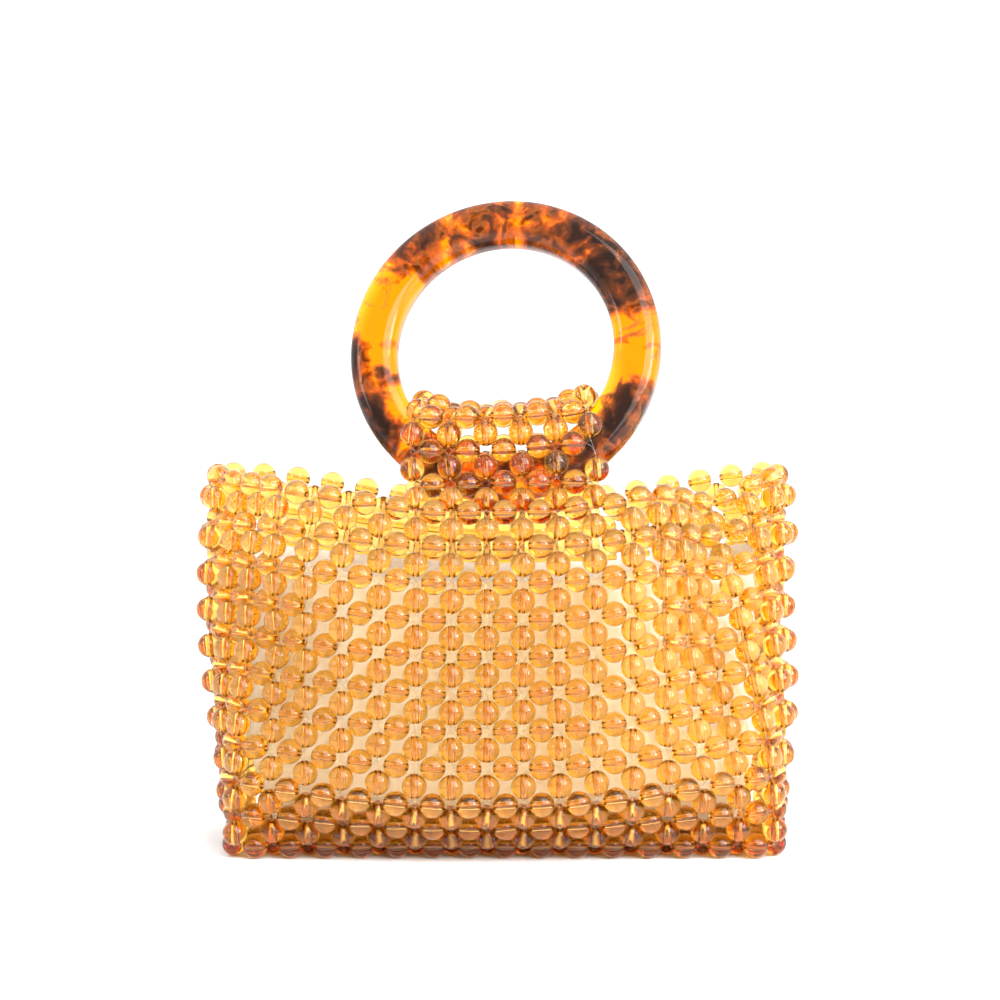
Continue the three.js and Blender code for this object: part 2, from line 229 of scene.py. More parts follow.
def bandPoint(halfStep, row):
    if row == 0:
        return weavePoint(halfStep, rowsHigh)
    if row == bandCells:
        return weavePoint(2 * stepsHalfRound - halfStep, rowsHigh)
    place = profile[row]
    height = (place[1] - frontRim[2]) / foldRise
    narrow = foldHalfWidth / (weave["bandColumns"] * cell / 2)
    pinch = height ** bandLook["narrowPower"]
    across = halfStep * cell / 2 * (1 + (narrow - 1) * pinch)
    slope = math.tan(bandLook["lean"]) * height
    sag = bandLook["foldSag"] * pinch * (1 - (halfStep / weave["bandColumns"]) ** 2)
    middle = frontRim[0] - slope * foldRise + bandLook["foldShift"] * pinch
    return np.array([middle + across, place[0], place[1] + slope * across - sag])


# Ring: its centre follows from the fold, whose two ends rest on the curve of the hole
seatRadius = ringLook["holeRadius"] - beadRadius - ringLook["clearance"]
seatDrop = math.sqrt(seatRadius**2 - foldHalfWidth**2)
ringCentre = np.array([
    frontRim[0] - math.tan(bandLook["lean"]) * foldRise + bandLook["foldShift"],
    foldPoint[0] + seatDrop * math.sin(ringLook["lean"]) + ringLook["setBack"],
    foldPoint[1] + seatDrop * math.cos(ringLook["lean"]),
])
ringTurn = Matrix.Rotation(-ringLook["yaw"], 3, "Z") @ Matrix.Rotation(-ringLook["lean"], 3, "X")
ringTurnArray = np.array(ringTurn)

# Every bead is one entry: where it goes, what it lies along and which two knots it joins
beads = []


def addBead(piece, start, end, startKnot, endKnot):
    beads.append({
        "piece": piece,
        "centre": (start + end) / 2,
        "axis": (end - start) / np.linalg.norm(end - start),
        "knots": (startKnot, endKnot),
    })


def panelOf(step):
    place = abs(step)
    if place <= frontCorner:
        return "front_panel"
    if place >= backCorner:
        return "back_panel"
    return "right_gusset" if step > 0 else "left_gusset"


def wallKnot(halfStep, row):
    halfStep = (halfStep + 2 * stepsHalfRound - 1) % halfStepsRound - 2 * stepsHalfRound + 1
    return ("wall", halfStep, row)


def addWallBeads():
    for row in range(rowsHigh + 1):
        for step in range(1 - stepsHalfRound, stepsHalfRound + 1):
            low, high = 2 * step - 1, 2 * step + 1
            addBead(
                panelOf(step),
                weavePoint(low, row),
                weavePoint(high, row),
                wallKnot(low, row),
                wallKnot(high, row),
            )
    for row in range(rowsHigh):
        for halfStep in range(1 - 2 * stepsHalfRound, 2 * stepsHalfRound, 2):
            addBead(
                panelOf(halfStep / 2),
                weavePoint(halfStep, row),
                weavePoint(halfStep, row + 1),
                wallKnot(halfStep, row),
                wallKnot(halfStep, row + 1),
            )


def baseKnot(halfStep, deep):
    # the base shares the knots of the lowest wall row along its four edges
    across, depth = weave["columnsAcross"], weave["columnsDeep"]
    if deep == 0:
        return wallKnot(halfStep, 0)
    if deep == depth:
        return wallKnot(2 * stepsHalfRound - halfStep, 0)
    if abs(halfStep) == across:
        return wallKnot((1 if halfStep > 0 else -1) * (across + 2 * deep), 0)
    return ("base", halfStep, deep)


def addBaseBeads():
    across, depth = weave["columnsAcross"], weave["columnsDeep"]
    for deep in range(1, depth):
        for low in range(-across, across, 2):
            addBead(
                "base_panel",
                basePoint(low, 2 * deep),
                basePoint(low + 2, 2 * deep),
                baseKnot(low, deep),
                baseKnot(low + 2, deep),
            )
    for deep in range(depth):
        for halfStep in range(2 - across, across, 2):
            addBead(
                "base_panel",
                basePoint(halfStep, 2 * deep),
                basePoint(halfStep, 2 * deep + 2),
                baseKnot(halfStep, deep),
                baseKnot(halfStep, deep + 1),
            )


def bandKnot(halfStep, row):
    if row == 0:
        return wallKnot(halfStep, rowsHigh)
    if row == bandCells:
        return wallKnot(2 * stepsHalfRound - halfStep, rowsHigh)
    return ("band", halfStep, row)


def addBandBeads():
    wide = weave["bandColumns"]
    for row in range(1, bandCells):
        for low in range(-wide, wide, 2):
            addBead(
                "handle_band",
                bandPoint(low, row),
                bandPoint(low + 2, row),
                bandKnot(low, row),
                bandKnot(low + 2, row),
            )
    for row in range(bandCells):
        for halfStep in range(-wide, wide + 1, 2):
            addBead(
                "handle_band",
                bandPoint(halfStep, row),
                bandPoint(halfStep, row + 1),
                bandKnot(halfStep, row),
                bandKnot(halfStep, row + 1),
            )


addWallBeads()
addBaseBeads()
addBandBeads()
print(len(beads), "beads strung")


def clearOfRing(points):
    # moves points out of the ring, in the ring's own axes, where its section is a rounded rectangle
    local = (points - ringCentre) @ ringTurnArray
    radial = np.hypot(local[:, 0], local[:, 2])
    middle = (ringLook["outerRadius"] + ringLook["holeRadius"]) / 2
    halfWide = (ringLook["outerRadius"] - ringLook["holeRadius"]) / 2 - ringLook["rounding"]
    halfDeep = ringLook["depth"] / 2 - ringLook["rounding"]
    offset = np.stack([radial - middle, local[:, 1]], axis=1)
    nearest = np.clip(offset, [-halfWide, -halfDeep], [halfWide, halfDeep])
    away = offset - nearest
    distance = np.linalg.norm(away, axis=1)
    wanted = ringLook["rounding"] + beadRadius + ringLook["clearance"] / 2
    short = np.where(distance < wanted, wanted - distance, 0)
    push = short[:, None] * away / np.maximum(distance, tiny)[:, None]
    outward = np.stack([local[:, 0], 0 * radial, local[:, 2]], axis=1)
    outward /= np.maximum(radial, tiny)[:, None]
    local = local + outward * push[:, :1]
    local[:, 1] += push[:, 1]
    return local @ ringTurnArray.T + ringCentre


# How beads that touch are moved apart before they are drawn
settleLook = {
    "rounds": 40,
    "push": 0.6,  # share of each overlap that one round takes out
    "pull": 0.02,  # share of the way home that one round goes
}


def settleBeads():
    # beads that lie too near each other are pushed apart, and drawn gently back to their places
    home = np.array([bead["centre"] for bead in beads])
    centres = home.copy()
    wanted = beadLook["diameter"] * (1 + beadLook["sizeSpread"] / 2) + beadLook["restGap"]
    inBand = np.array([bead["piece"] == "handle_band" for bead in beads])
    for _ in range(settleLook["rounds"]):
        gaps = centres[:, None, :] - centres[None, :, :]
        distance = np.linalg.norm(gaps, axis=2) + np.eye(len(beads))
        short = np.where(distance < wanted, wanted - distance, 0) / 2  # each of the two moves half
        np.fill_diagonal(short, 0)
        pushes = (gaps / distance[:, :, None] * short[:, :, None]).sum(axis=1)
        centres += pushes * settleLook["push"]
        centres += (home - centres) * settleLook["pull"]
        centres[inBand] = clearOfRing(centres[inBand])
        centres[:, 2] = np.maximum(centres[:, 2], beadRadius * (1 + beadLook["sizeSpread"]))
    for bead, centre in zip(beads, centres):
        bead["centre"] = centre
    gaps = centres[:, None, :] - centres[None, :, :]
    distance = np.linalg.norm(gaps, axis=2) + np.eye(len(beads))
    print("closest beads", round(distance.min() / mm, 2), "mm, moved at most",
          round(np.linalg.norm(centres - home, axis=1).max() / mm, 2), "mm")


settleBeads()


# Meshes
def faceOf(count, corners):
    # each corner is a loop and a place on it, and a loop has count points
    return [loop * count + place for loop, place in corners]


def makeMesh(name, verts, faces, material, sharpOf=None):
    mesh = bpy.data.meshes.new(name)
    mesh.from_pydata(np.asarray(verts).tolist(), [], faces)
    mesh.polygons.foreach_set("use_smooth", [True] * len(mesh.polygons))
    mesh.materials.append(material)
    if sharpOf is not None:
        ends = np.zeros(len(mesh.edges) * 2, np.int32)
        mesh.edges.foreach_get("vertices", ends)
        sharp = sharpOf(ends.reshape(-1, 2))
        mesh.attributes.new("sharp_edge", "BOOLEAN", "EDGE").data.foreach_set("value", sharp)
    mesh.update()
    piece = bpy.data.objects.new(name, mesh)
    bpy.context.collection.objects.link(piece)
    return piece


def addValues(piece, name, values):
    # a number at each point, which a material reads by its name
    piece.data.attributes.new(name, "FLOAT", "POINT").data.foreach_set("value", values)


def beadTemplate():
    # a round bead of diameter 1 with its drilled bore along Z
    bore = beadLook["bore"] / beadLook["diameter"] / 2
    rim = math.asin(bore / 0.5)
    turns = np.linspace(rim, math.pi - rim, beadLook["rings"] + 1)
    outline = [(0.5 * math.sin(t), 0.5 * math.cos(t)) for t in turns]
    sides = beadLook["sides"]
    around = np.arange(sides) * 2 * math.pi / sides
    verts = [(r * math.cos(a), r * math.sin(a), z) for r, z in outline for a in around]
    faces = []
    count = len(outline)
    for ring in range(count):
        below = (ring + 1) % count
        for side in range(sides):
            other = (side + 1) % sides
            corners = (ring, side), (below, side), (below, other), (ring, other)
            faces.append(faceOf(sides, corners))
    return np.array(verts), np.array(faces)


beadVerts, beadFaces = beadTemplate()
beadHoleReach = math.sqrt(beadRadius**2 - (beadLook["bore"] / 2) ** 2)


def turnTo(axis, spin):
    helper = np.array([0.0, 0.0, 1.0]) if abs(axis[2]) < 0.9 else np.array([1.0, 0.0, 0.0])
    side = np.cross(helper, axis)
    side /= np.linalg.norm(side)
    up = np.cross(axis, side)
    first = side * math.cos(spin) + up * math.sin(spin)
    return np.stack([first, np.cross(axis, first), axis], axis=1)


amberLook = {
    "pale": (1.0, 0.99, 0.97),
    "deep": (1.0, 0.72, 0.25),
    "lowShadeHeight": 32 * mm,  # painted shade: below this height the beads get a deeper colour, the lower the deeper
    # painted shade: the dark outline colour painted on the bead edges, and the facing where it
    # starts
    "edge": (0.22, 0.07, 0.005),
    "edgeFrom": 0.38,  # 0 looks straight at the surface, 1 looks along it
    # painted shade: the bead edges let less light through, so that the painted outline shows
    "edgeClearness": ((0.62, (1, 1, 1)), (0.95, (0.4, 0.4, 0.4))),
    "surface": {"Roughness": 0.02, "IOR": 1.46, "Specular IOR Level": 0.1},
    "boreShadeColour": (0.93, 0.66, 0.3),  # painted shade: the drilled bore wall and its rims are darkened, so that the bore looks deeper
    "toneSpread": 0.25,  # share of a bead's tone that is chance, the rest is painted shade by how low it lies
    "absorbColour": (0.97, 0.757, 0.0),
    "absorbDensity": 235.0,
}


def strungPiece(name, pieceName, material, seed):
    draw = random.Random(seed)
    spread = amberLook["toneSpread"]
    verts, faces, tonesAndShade = [], [], []
    for bead in (b for b in beads if b["piece"] == pieceName):
        tilt = np.array([draw.gauss(0, beadLook["tiltSpread"]) for _ in range(3)])
        axis = bead["axis"] + tilt
        axis /= np.linalg.norm(axis)
        bead["axis"] = axis
        size = beadLook["diameter"] * (1 + draw.uniform(-1, 0) * beadLook["sizeSpread"])
        placed = beadVerts @ (turnTo(axis, draw.uniform(0, math.pi)).T * size) + bead["centre"]
        faces.append(beadFaces + len(verts) * len(beadVerts))
        verts.append(placed)
        # painted shade: the lower a bead lies, the deeper its colour
        low = min(1, max(0, 1 - bead["centre"][2] / amberLook["lowShadeHeight"]))
        tonesAndShade.append(spread * draw.random() + (1 - spread) * low)
    ringCount = beadLook["rings"]
    sides = beadLook["sides"]

    def holeEdges(ends):
        local = ends % len(beadVerts) // sides
        top = (local == 0).all(axis=1)
        bottom = (local == ringCount).all(axis=1)
        return top | bottom

    faces = np.concatenate(faces).tolist()
    piece = makeMesh(name, np.concatenate(verts), faces, material, holeEdges)
    # each bead's tone is partly chance and partly painted shade towards the bottom
    addValues(piece, "beadToneAndShade", np.repeat(tonesAndShade, len(beadVerts)))
    # painted shade along the bore wall and its rims
    ringOf = np.arange(len(beadVerts)) // sides
    atBore = ((ringOf == 0) | (ringOf == ringCount)).astype(float)
    addValues(piece, "boreShade", np.tile(atBore, len(tonesAndShade)))
    return piece


# Materials
def newMaterial(name):
    material = bpy.data.materials.new(name)
    material.use_nodes = True
    nodes = material.node_tree.nodes
    return material, nodes, material.node_tree.links, nodes["Principled BSDF"]


def setInputs(node, values):
    for name, value in values.items():
        node.inputs[name].default_value = value


def addAbsorption(nodes, links, look):
    # the body of the material takes out colour along the way that light goes in it
    absorb = nodes.new("ShaderNodeVolumeAbsorption")
    absorb.inputs["Color"].default_value = (*look["absorbColour"], 1)
    absorb.inputs["Density"].default_value = look["absorbDensity"]
    links.new(absorb.outputs["Volume"], nodes["Material Output"].inputs["Volume"])


def colourRamp(nodes, stops):
    ramp = nodes.new("ShaderNodeValToRGB")
    elements = ramp.color_ramp.elements
    while len(elements) < len(stops):
        elements.new(0.5)
    for element, (place, colour) in zip(elements, stops):
        element.position = place
        element.color = (*colour, 1)
    return ramp


def multiplyColours(nodes, links, first, second):
    mix = nodes.new("ShaderNodeMix")
    mix.data_type = "RGBA"
    mix.blend_type = "MULTIPLY"
    share, firstColour, secondColour = mix.inputs[0], mix.inputs[6], mix.inputs[7]
    share.default_value = 1
    links.new(first, firstColour)
    links.new(second, secondColour)
    return mix.outputs[2]


def paintEdgeShade(nodes, links, colour, surface, edge, start):
    # painted shade: clear rounds are darkened where the eye meets them along the surface, a painted
    # dark outline
    facing = nodes.new("ShaderNodeLayerWeight")
    facing.inputs["Blend"].default_value = 0.5
    edgeShadeRamp = colourRamp(nodes, ((start, (1, 1, 1)), (1, edge)))
    links.new(facing.outputs["Facing"], edgeShadeRamp.inputs["Fac"])
    result = multiplyColours(nodes, links, colour, edgeShadeRamp.outputs["Color"])
    links.new(result, surface.inputs["Base Color"])
    return facing.outputs["Facing"]


def amberBeadMaterial():
    material, nodes, links, surface = newMaterial("amberBeads")
    setInputs(surface, amberLook["surface"])
    # the bead's tone carries chance and also painted shade towards the bottom
    toneAndShadeNode = nodes.new("ShaderNodeAttribute")
    toneAndShadeNode.attribute_name = "beadToneAndShade"
    ramp = colourRamp(nodes, ((0, amberLook["pale"]), (1, amberLook["deep"])))
    links.new(toneAndShadeNode.outputs["Fac"], ramp.inputs["Fac"])
    # painted shade in the bore, read from the boreShade values
    bore = nodes.new("ShaderNodeAttribute")
    bore.attribute_name = "boreShade"
    boreRamp = colourRamp(nodes, ((0, (1, 1, 1)), (1, amberLook["boreShadeColour"])))
    links.new(bore.outputs["Fac"], boreRamp.inputs["Fac"])
    result = multiplyColours(nodes, links, ramp.outputs["Color"], boreRamp.outputs["Color"])
    # painted shade on the bead edges: darker colour and less clearness where the surface is seen
    # edge-on
    facing = paintEdgeShade(nodes, links, result, surface, amberLook["edge"], amberLook["edgeFrom"])
    clear = colourRamp(nodes, amberLook["edgeClearness"])
    links.new(facing, clear.inputs["Fac"])
    links.new(clear.outputs["Color"], surface.inputs["Transmission Weight"])
    addAbsorption(nodes, links, amberLook)
    return material


amberBeads = amberBeadMaterial()
panelNames = (
    "front_panel",
    "back_panel",
    "left_gusset",
    "right_gusset",
    "base_panel",
    "handle_band",
)
for number, panelName in enumerate(panelNames):
    piece = strungPiece(panelName + "_beads", panelName, amberBeads, beadLook["firstSeed"] + number)
    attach(piece, "bag")
    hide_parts(panelName)
print("beads made")

# Thread
threadLook = {
    "radius": 0.11 * mm,
    "sides": 5,
    "steps": 5,
    "inBore": 0.86,  # where a stitch starts, as a share of the way from a bead's middle to its hole
    "bend": 0.4,  # how far a stitch runs straight on before it turns, as a share of its span
    "straightFrom": -0.75,  # two beads in line have an axis product below this
    "colour": (1.0, 0.97, 0.93),
    "surface": {"Roughness": 0.1, "Transmission Weight": 0.9, "IOR": 1.15},
}


def threadMaterial():
    material, nodes, links, surface = newMaterial("clearThread")
    surface.inputs["Base Color"].default_value = (*threadLook["colour"], 1)
    setInputs(surface, threadLook["surface"])
    return material


def tubeArrays(path, radius, sides):
    path = np.array(path)
    verts, faces = [], []
    for k, point in enumerate(path):
        along = path[min(k + 1, len(path) - 1)] - path[max(k - 1, 0)]
        turn = turnTo(along / np.linalg.norm(along), 0)
        for side in range(sides):
            angle = 2 * math.pi * side / sides
            outward = turn[:, 0] * math.cos(angle) + turn[:, 1] * math.sin(angle)
            verts.append(point + radius * outward)
    for k in range(len(path) - 1):
        for side in range(sides):
            other = (side + 1) % sides
            corners = (k, side), (k, other), (k + 1, other), (k + 1, side)
            faces.append(faceOf(sides, corners))
    last = (len(path) - 1) * sides
    faces.append(list(range(sides))[::-1])
    faces.append([last + side for side in range(sides)])
    return verts, faces


def makeThread():
    ends = {}
    for bead in beads:
        for sign, knot in zip((-1, 1), bead["knots"]):
            ends.setdefault(knot, []).append((bead["centre"], sign * bead["axis"]))
    verts, faces = [], []

    def addTube(path):
        tubeVerts, tubeFaces = tubeArrays(path, threadLook["radius"], threadLook["sides"])
        faces.extend([[index + len(verts) for index in face] for face in tubeFaces])
        verts.extend(tubeVerts)

    inBore = threadLook["inBore"]
    for meeting in ends.values():
        tips = [(centre + axis * beadHoleReach * inBore, axis) for centre, axis in meeting]
        for first in range(len(tips)):
            for second in range(first + 1, len(tips)):
                (a, axisA), (b, axisB) = tips[first], tips[second]
                if axisA @ axisB < threadLook["straightFrom"] and len(tips) > 3:
                    continue  # opposite beads are joined round the corner, not straight across
                reach = np.linalg.norm(a - b) * threadLook["bend"]
                t = np.linspace(0, 1, threadLook["steps"] + 1)[:, None]
                c, d = a + axisA * reach, b + axisB * reach
                early = (1 - t) ** 3 * a + 3 * (1 - t) ** 2 * t * c
                addTube(early + 3 * (1 - t) * t**2 * d + t**3 * b)
    return makeMesh("bead_thread", verts, faces, threadMaterial())


thread = makeThread()
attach(thread, "bag")
print("thread drawn")


# Ring handle
shellPatches = (
    # clock angle from the top, half length, place across (0 hole, 1 outside), half width, darkness
    (-42, 17, 0.75, 0.5, 0.75),
    (-14, 20, 0.5, 0.9, 0.62),
    (16, 18, 0.5, 1.0, 0.64),
    (30, 10, 0.8, 0.6, 0.85),
    (52, 20, 0.5, 0.8, 0.95),
    (88, 14, 0.5, 0.9, 0.2),
    (123, 22, 0.6, 0.35, 0.95),
    (150, 12, 0.5, 0.6, 0.65),
    (-97, 14, 1.0, 0.28, 1.0),
    (-122, 18, 0.9, 0.45, 0.95),
    (-104, 3.5, 0.35, 0.22, 0.75),
    (-112, 4, 0.6, 0.2, 0.7),
    (-150, 14, 0.5, 0.7, 0.6),
    (180, 24, 0.5, 0.8, 0.6),
)


def ringOutline():
    rounding = ringLook["rounding"]
    half = ringLook["depth"] / 2 - rounding
    outer = ringLook["outerRadius"] - rounding
    inner = ringLook["holeRadius"] + rounding
    corners = ((outer, -half, -90), (outer, half, 0), (inner, half, 90), (inner, -half, 180))
    points = []
    for radius, side, start in corners:
        for k in range(ringLook["cornerSteps"] + 1):
            angle = math.radians(start + 90 * k / ringLook["cornerSteps"])
            points.append((radius + rounding * math.cos(angle), side + rounding * math.sin(angle)))
        if start % 180 == 0:  # extra points across the two broad faces
            last = points[-1]
            far = inner if start == 0 else outer
            for k in range(1, ringLook["faceSteps"]):
                points.append((last[0] + (far - radius) * k / ringLook["faceSteps"], last[1]))
    return points


def shellDarkness(clock, across):
    value = 0.0
    for angle, length, middle, width, darkness in shellPatches:
        off = (clock - angle + 180) % 360 - 180
        reach = math.hypot(off / length, (across - middle) / width)
        value = max(value, darkness * min(1, max(0, shellLook["patchReach"] - reach)))
    return value


def makeRing():
    outline = ringOutline()
    count, turns = len(outline), ringLook["turnSteps"]
    wide = ringLook["outerRadius"] - ringLook["holeRadius"]
    verts, faces, dark = [], [], []
    for turn in range(turns):
        angle = 2 * math.pi * turn / turns
        for radius, side in outline:
            local = Vector((radius * math.sin(angle), side, radius * math.cos(angle)))
            across = (radius - ringLook["holeRadius"]) / wide
            dark.append(shellDarkness(math.degrees(angle), across))
            verts.append(np.array(ringTurn @ local) + ringCentre)
    for turn in range(turns):
        following = (turn + 1) % turns
        for k in range(count):
            after = (k + 1) % count
            corners = (turn, k), (following, k), (following, after), (turn, after)
            faces.append(faceOf(count, corners))
    piece = makeMesh("ring_handle_shell", verts, faces, tortoiseshellMaterial())
    addValues(piece, "shellDark", dark)
    return piece


shellLook = {
    "patchReach": 1.5,  # where a patch has faded out, in its half sizes, and it is full at 0.5
    "surface": {"Roughness": 0.05, "IOR": 1.33, "Specular IOR Level": 0.3},
    "absorbColour": (0.992, 0.938, 0.0),
    "absorbDensity": 1150.0,
    "swirls": (75, 1.6, 0.75),  # how fine the smears are, how curled, and how strong
    "flecks": (190, 0.6, 0.3),  # the same of the flecks in them
    "noiseDetail": 4,
    "noiseRange": (0.3, 0.7),  # where most values of the noise lie
    # painted shade: the dark outline colour painted on the ring's edges, and the facing where it
    # starts
    "edge": (0.3, 0.12, 0.04),
    "edgeFrom": 0.5,
    "colours": (
        (0.3, (1.0, 0.98, 0.9)),
        (0.41, (1.0, 0.38, 0.08)),
        (0.54, (0.52, 0.13, 0.03)),
        (0.7, (0.13, 0.04, 0.016)),
        (0.95, (0.025, 0.013, 0.01)),
    ),
    "clearness": ((0.35, (1, 1, 1)), (0.85, (0.35, 0.35, 0.35))),
}


def addNoise(nodes, links, place, speckles, base):
    # adds an even-handed noise, from -strength/2 to strength/2, to the value of base
    scale, distortion, strength = speckles
    low, high = shellLook["noiseRange"]
    speckle = nodes.new("ShaderNodeTexNoise")
    speckle.inputs["Detail"].default_value = shellLook["noiseDetail"]
    setInputs(speckle, {"Scale": scale, "Distortion": distortion})
    links.new(place, speckle.inputs["Vector"])
    spread = nodes.new("ShaderNodeMapRange")
    spread.clamp = False
    setInputs(spread, {"From Min": low, "From Max": high})
    setInputs(spread, {"To Min": -strength / 2, "To Max": strength / 2})
    links.new(speckle.outputs["Fac"], spread.inputs["Value"])
    total = nodes.new("ShaderNodeMath")
    total.operation = "ADD"
    links.new(base, total.inputs[0])
    links.new(spread.outputs["Result"], total.inputs[1])
    return total.outputs["Value"]


def tortoiseshellMaterial():
    material, nodes, links, surface = newMaterial("tortoiseshell")
    setInputs(surface, shellLook["surface"])
    place = nodes.new("ShaderNodeTexCoord").outputs["Object"]
    shell = nodes.new("ShaderNodeAttribute")
    shell.attribute_name = "shellDark"
    smears = addNoise(nodes, links, place, shellLook["swirls"], shell.outputs["Fac"])
    smears = addNoise(nodes, links, place, shellLook["flecks"], smears)
    ramp = colourRamp(nodes, shellLook["colours"])
    links.new(smears, ramp.inputs["Fac"])
    colour = ramp.outputs["Color"]
    # painted shade on the ring's edges, where the surface is seen edge-on
    paintEdgeShade(nodes, links, colour, surface, shellLook["edge"], shellLook["edgeFrom"])
    clear = colourRamp(nodes, shellLook["clearness"])
    links.new(smears, clear.inputs["Fac"])
    links.new(clear.outputs["Color"], surface.inputs["Transmission Weight"])
    addAbsorption(nodes, links, shellLook)
    return material


ring = makeRing()
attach(ring, "ring")
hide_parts("ring_handle")
print("ring turned")

# Lining pouch
liningLook = {
    "wall": 0.8 * mm,
    "inset": 3.2 * mm,  # from the beads' inner side
    "lowInset": 18 * mm,  # more of it at the rounded bottom of the pouch
    "roundedRows": 2.8,
    "lowRow": 0.5,  # the pouch's bottom and mouth, in rows up the wall
    "topRow": 8,
    "roundedPower": 1.5,  # how evenly the rounded bottom runs into the sides
    "floorGap": 0.6 * mm,  # between the pouch and the beads of the base
    "floorShares": (0.12, 0.4, 0.7, 0.9),  # loops of the pouch's bottom, from its middle outwards
    "roundSteps": 4,  # points for each cell round the bag
    "rowSteps": 4,  # points for each row up
    "wrinkle": 1.1 * mm,
    "wrinkleLean": 0.4,  # share of it by which the whole cloth stands further in
    "wrinkleScale": (60, 60, 14),
    "wrinkleRise": 6,  # levels above the bottom over which the wrinkles grow
    "surface": {"Roughness": 0.9, "Sheen Weight": 0.3, "IOR": 1.1},
    "weaveScale": 700,
    "weaveStrength": 0.25,
    "weaveDepth": 0.2 * mm,
    "colour": (1.0, 0.965, 0.94),
    "letsThrough": 0.3,  # share of the light that passes through the thin cloth
}


def liningLoop(row):
    points = []
    rounded = max(0, 1 - row / liningLook["roundedRows"]) ** liningLook["roundedPower"]
    inset = beadRadius + liningLook["inset"] + liningLook["lowInset"] * rounded
    for halfStep in range(1 - 2 * stepsHalfRound, 2 * stepsHalfRound, 2):
        before, after = (weaveAt(halfStep + shift, row) for shift in (-2, 2))
        tangent = (after - before)[:2] / np.linalg.norm((after - before)[:2])
        point = weaveAt(halfStep, row).copy()
        point[:2] += np.array([-tangent[1], tangent[0]]) * inset
        points.append(point)
    return np.array(points)


def weaveAt(halfStep, row):
    low = min(int(row), rowsHigh - 1)
    share = row - low
    return weavePoint(halfStep, low) * (1 - share) + weavePoint(halfStep, low + 1) * share


def smoothLoop(loop, steps):
    # a closed smooth curve through the loop's points
    count = len(loop)
    result = []
    for k in range(count):
        p0, p1, p2, p3 = (loop[(k + shift) % count] for shift in (-1, 0, 1, 2))
        for step in range(steps):
            t = step / steps
            result.append(0.5 * ((2 * p1) + (p2 - p0) * t + (2 * p0 - 5 * p1 + 4 * p2 - p3) * t**2
                                 + (3 * p1 - p0 - 3 * p2 + p3) * t**3))
    return np.array(result)


def makeLining():
    floor = beadLook["diameter"] + liningLook["floorGap"]
    top = liningLook["topRow"]
    levels = np.linspace(liningLook["lowRow"], top, top * liningLook["rowSteps"])
    loops = [smoothLoop(liningLoop(level), liningLook["roundSteps"]) for level in levels]
    loops[0][:, 2] = floor
    centre = loops[0].mean(axis=0)
    floorLoops = [centre + (loops[0] - centre) * share for share in liningLook["floorShares"]]
    wrinkle = liningLook["wrinkle"]
    verts, faces = [], []
    loops = floorLoops + loops
    count = len(loops[0])
    for level, loop in enumerate(loops):
        for point in loop:
            grown = min(1, max(0, level - len(floorLoops)) / liningLook["wrinkleRise"])
            wave = noise.noise(Vector(point * liningLook["wrinkleScale"])) * wrinkle * grown
            inward = (centre - point) * [1, 1, 0]
            inward /= max(np.linalg.norm(inward), tiny)
            verts.append(point + inward * (wave + wrinkle * liningLook["wrinkleLean"]))
    for level in range(len(loops) - 1):
        for k in range(count):
            after = (k + 1) % count
            corners = (level, k), (level, after), (level + 1, after), (level + 1, k)
            faces.append(faceOf(count, corners))
    faces.append(list(range(count))[::-1])
    piece = makeMesh("lining_cloth", verts, faces, liningMaterial())
    thicken = piece.modifiers.new("wall", "SOLIDIFY")
    thicken.thickness = liningLook["wall"]
    thicken.offset = -1
    return piece


def liningMaterial():
    material, nodes, links, surface = newMaterial("creamCotton")
    surface.inputs["Base Color"].default_value = (*liningLook["colour"], 1)
    surface.inputs["Transmission Weight"].default_value = liningLook["letsThrough"]
    setInputs(surface, liningLook["surface"])
    place = nodes.new("ShaderNodeTexCoord")
    waves = []
    for direction in ("X", "Z"):
        wave = nodes.new("ShaderNodeTexWave")
        wave.bands_direction = direction
        wave.inputs["Scale"].default_value = liningLook["weaveScale"]
        links.new(place.outputs["Object"], wave.inputs["Vector"])
        waves.append(wave)
    both = nodes.new("ShaderNodeMath")
    both.operation = "ADD"
    links.new(waves[0].outputs["Fac"], both.inputs[0])
    links.new(waves[1].outputs["Fac"], both.inputs[1])
    bump = nodes.new("ShaderNodeBump")
    setInputs(bump, {"Strength": liningLook["weaveStrength"], "Distance": liningLook["weaveDepth"]})
    links.new(both.outputs["Value"], bump.inputs["Height"])
    links.new(bump.outputs["Normal"], surface.inputs["Normal"])
    return material


lining = makeLining()
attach(lining, "bag")
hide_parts("lining_pouch")
print("lining sewn")

# Floor, light and camera
studio = {
    "floorSize": 8.0,
    "floorColour": (0.97, 0.97, 0.97),
    "floorRoughness": 0.7,
    "skyBright": 1.45,  # the white room behind and above the bag
    "skyDim": 0.25,  # the room on the camera's side
    "skyTilt": math.radians(37),  # how far the bright side leans up from the level
    "skyBlend": 0.3,  # how softly the bright side runs into the dim one
    "coveHeights": (0.12, 0.22),  # the room is bright all round below, and fades between these
    "softboxes": (
        # name, place, size and power
        ("softboxLeft", (-1.9, -0.9, 1.0), 0.7, 12.0),
        ("softboxRight", (1.7, -1.0, 0.9), 0.8, 24.0),
        ("softboxFill", (1.4, -1.9, 1.9), 3.0, 180.0),
    ),
    "lightAim": (0, 0, 0.12),
    "bounces": 11,  # enough for light to cross several beads
    "cameraRow": 5,  # the row of the front panel that the camera's distance is measured from
    "cameraHeight": 259 * mm,
    "cameraDistance": 1326 * mm,
    "cameraSide": -2.1 * mm,
    "cameraPitch": math.radians(4.97),
    "cameraReach": 50,
    "sensorWidth": 36,
    "lens": 123.6,
}


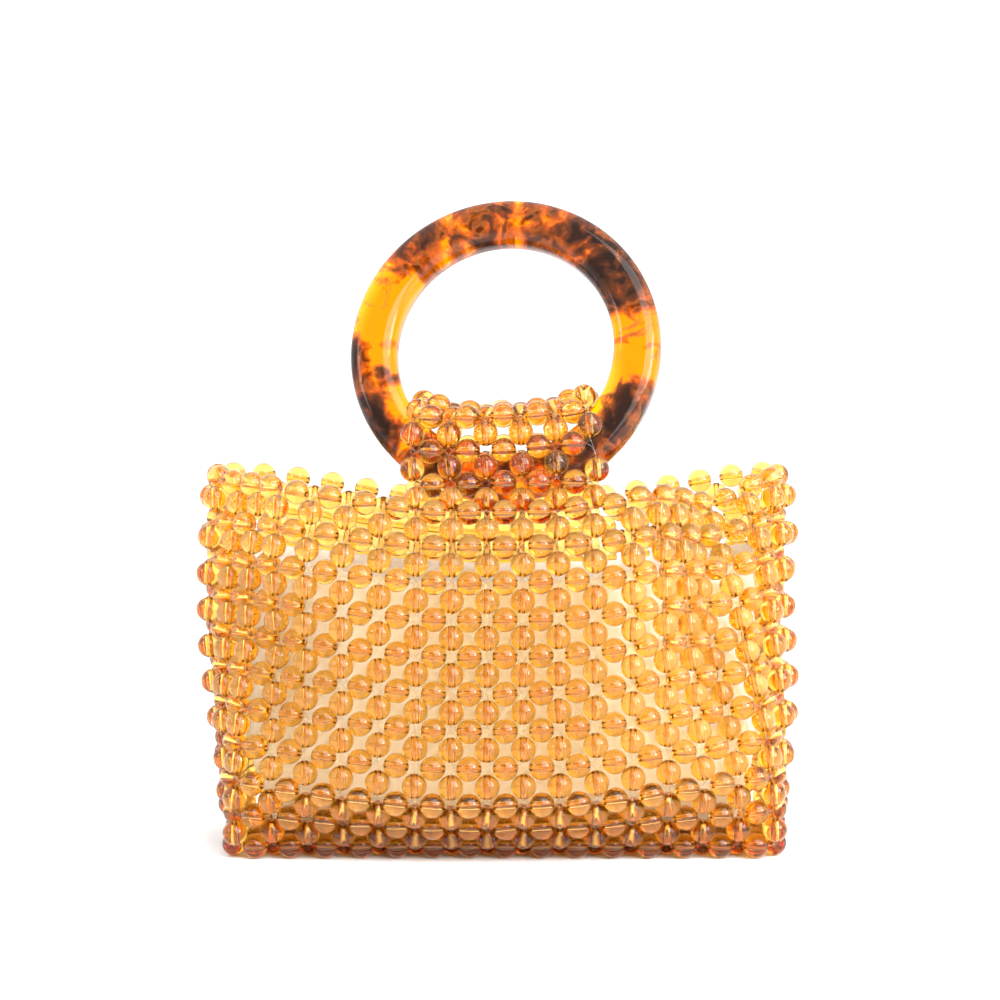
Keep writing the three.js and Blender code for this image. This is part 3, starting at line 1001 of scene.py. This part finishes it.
def makeStudio():
    material, nodes, links, surface = newMaterial("paleFloor")
    surface.inputs["Base Color"].default_value = (*studio["floorColour"], 1)
    surface.inputs["Roughness"].default_value = studio["floorRoughness"]
    half = studio["floorSize"] / 2
    corners = [(-half, -half, 0), (half, -half, 0), (half, half, 0), (-half, half, 0)]
    makeMesh("floor", corners, [(0, 1, 2, 3)], material)
    makeSky()
    for name, place, size, power in studio["softboxes"]:
        makeSoftbox(name, place, size, power)
    scene = bpy.context.scene
    scene.view_settings.view_transform = "Standard"
    scene.cycles.max_bounces = studio["bounces"]
    scene.cycles.transmission_bounces = studio["bounces"]


def makeSky():
    # a white room, dim above the camera's side, so that clear edges show up dark
    world = bpy.data.worlds.new("studio")
    world.use_nodes = True
    nodes, links = world.node_tree.nodes, world.node_tree.links
    place = nodes.new("ShaderNodeTexCoord")
    lean = nodes.new("ShaderNodeVectorMath")
    lean.operation = "DOT_PRODUCT"
    lean.inputs[1].default_value = (0, math.cos(studio["skyTilt"]), math.sin(studio["skyTilt"]))
    links.new(place.outputs["Generated"], lean.inputs[0])
    spread = nodes.new("ShaderNodeMapRange")
    setInputs(spread, {
        "From Min": -studio["skyBlend"],
        "From Max": studio["skyBlend"],
        "To Min": studio["skyDim"],
        "To Max": studio["skyBright"],
    })
    links.new(lean.outputs["Value"], spread.inputs["Value"])
    height = nodes.new("ShaderNodeSeparateXYZ")
    links.new(place.outputs["Generated"], height.inputs["Vector"])
    level = nodes.new("ShaderNodeMapRange")
    low, high = studio["coveHeights"]
    setInputs(level, {"From Min": low, "From Max": high})
    setInputs(level, {"To Min": studio["skyBright"], "To Max": 0})
    links.new(height.outputs["Z"], level.inputs["Value"])
    brighter = nodes.new("ShaderNodeMath")
    brighter.operation = "MAXIMUM"
    links.new(spread.outputs["Result"], brighter.inputs[0])
    links.new(level.outputs["Result"], brighter.inputs[1])
    links.new(brighter.outputs["Value"], nodes["Background"].inputs["Strength"])
    nodes["Background"].inputs["Color"].default_value = (1, 1, 1, 1)
    bpy.context.scene.world = world


def makeSoftbox(name, place, size, power):
    light = bpy.data.lights.new(name, "AREA")
    light.shape = "SQUARE"
    light.size = size
    light.energy = power
    box = bpy.data.objects.new(name, light)
    box.location = place
    toBag = Vector(studio["lightAim"]) - Vector(place)
    box.rotation_euler = toBag.to_track_quat("-Z", "Y").to_euler()
    bpy.context.collection.objects.link(box)


def makeCamera():
    data = bpy.data.cameras.new("camera")
    data.lens = studio["lens"]
    data.sensor_width = studio["sensorWidth"]
    data.clip_end = studio["cameraReach"]
    camera = bpy.data.objects.new("camera", data)
    bpy.context.collection.objects.link(camera)
    front = weavePoint(0, studio["cameraRow"])
    camera.location = (
        front[0] + studio["cameraSide"],
        front[1] - studio["cameraDistance"],
        studio["cameraHeight"],
    )
    camera.rotation_euler = (math.pi / 2 - studio["cameraPitch"], 0, 0)
    bpy.context.scene.camera = camera


makeStudio()
makeCamera()
print("studio set")
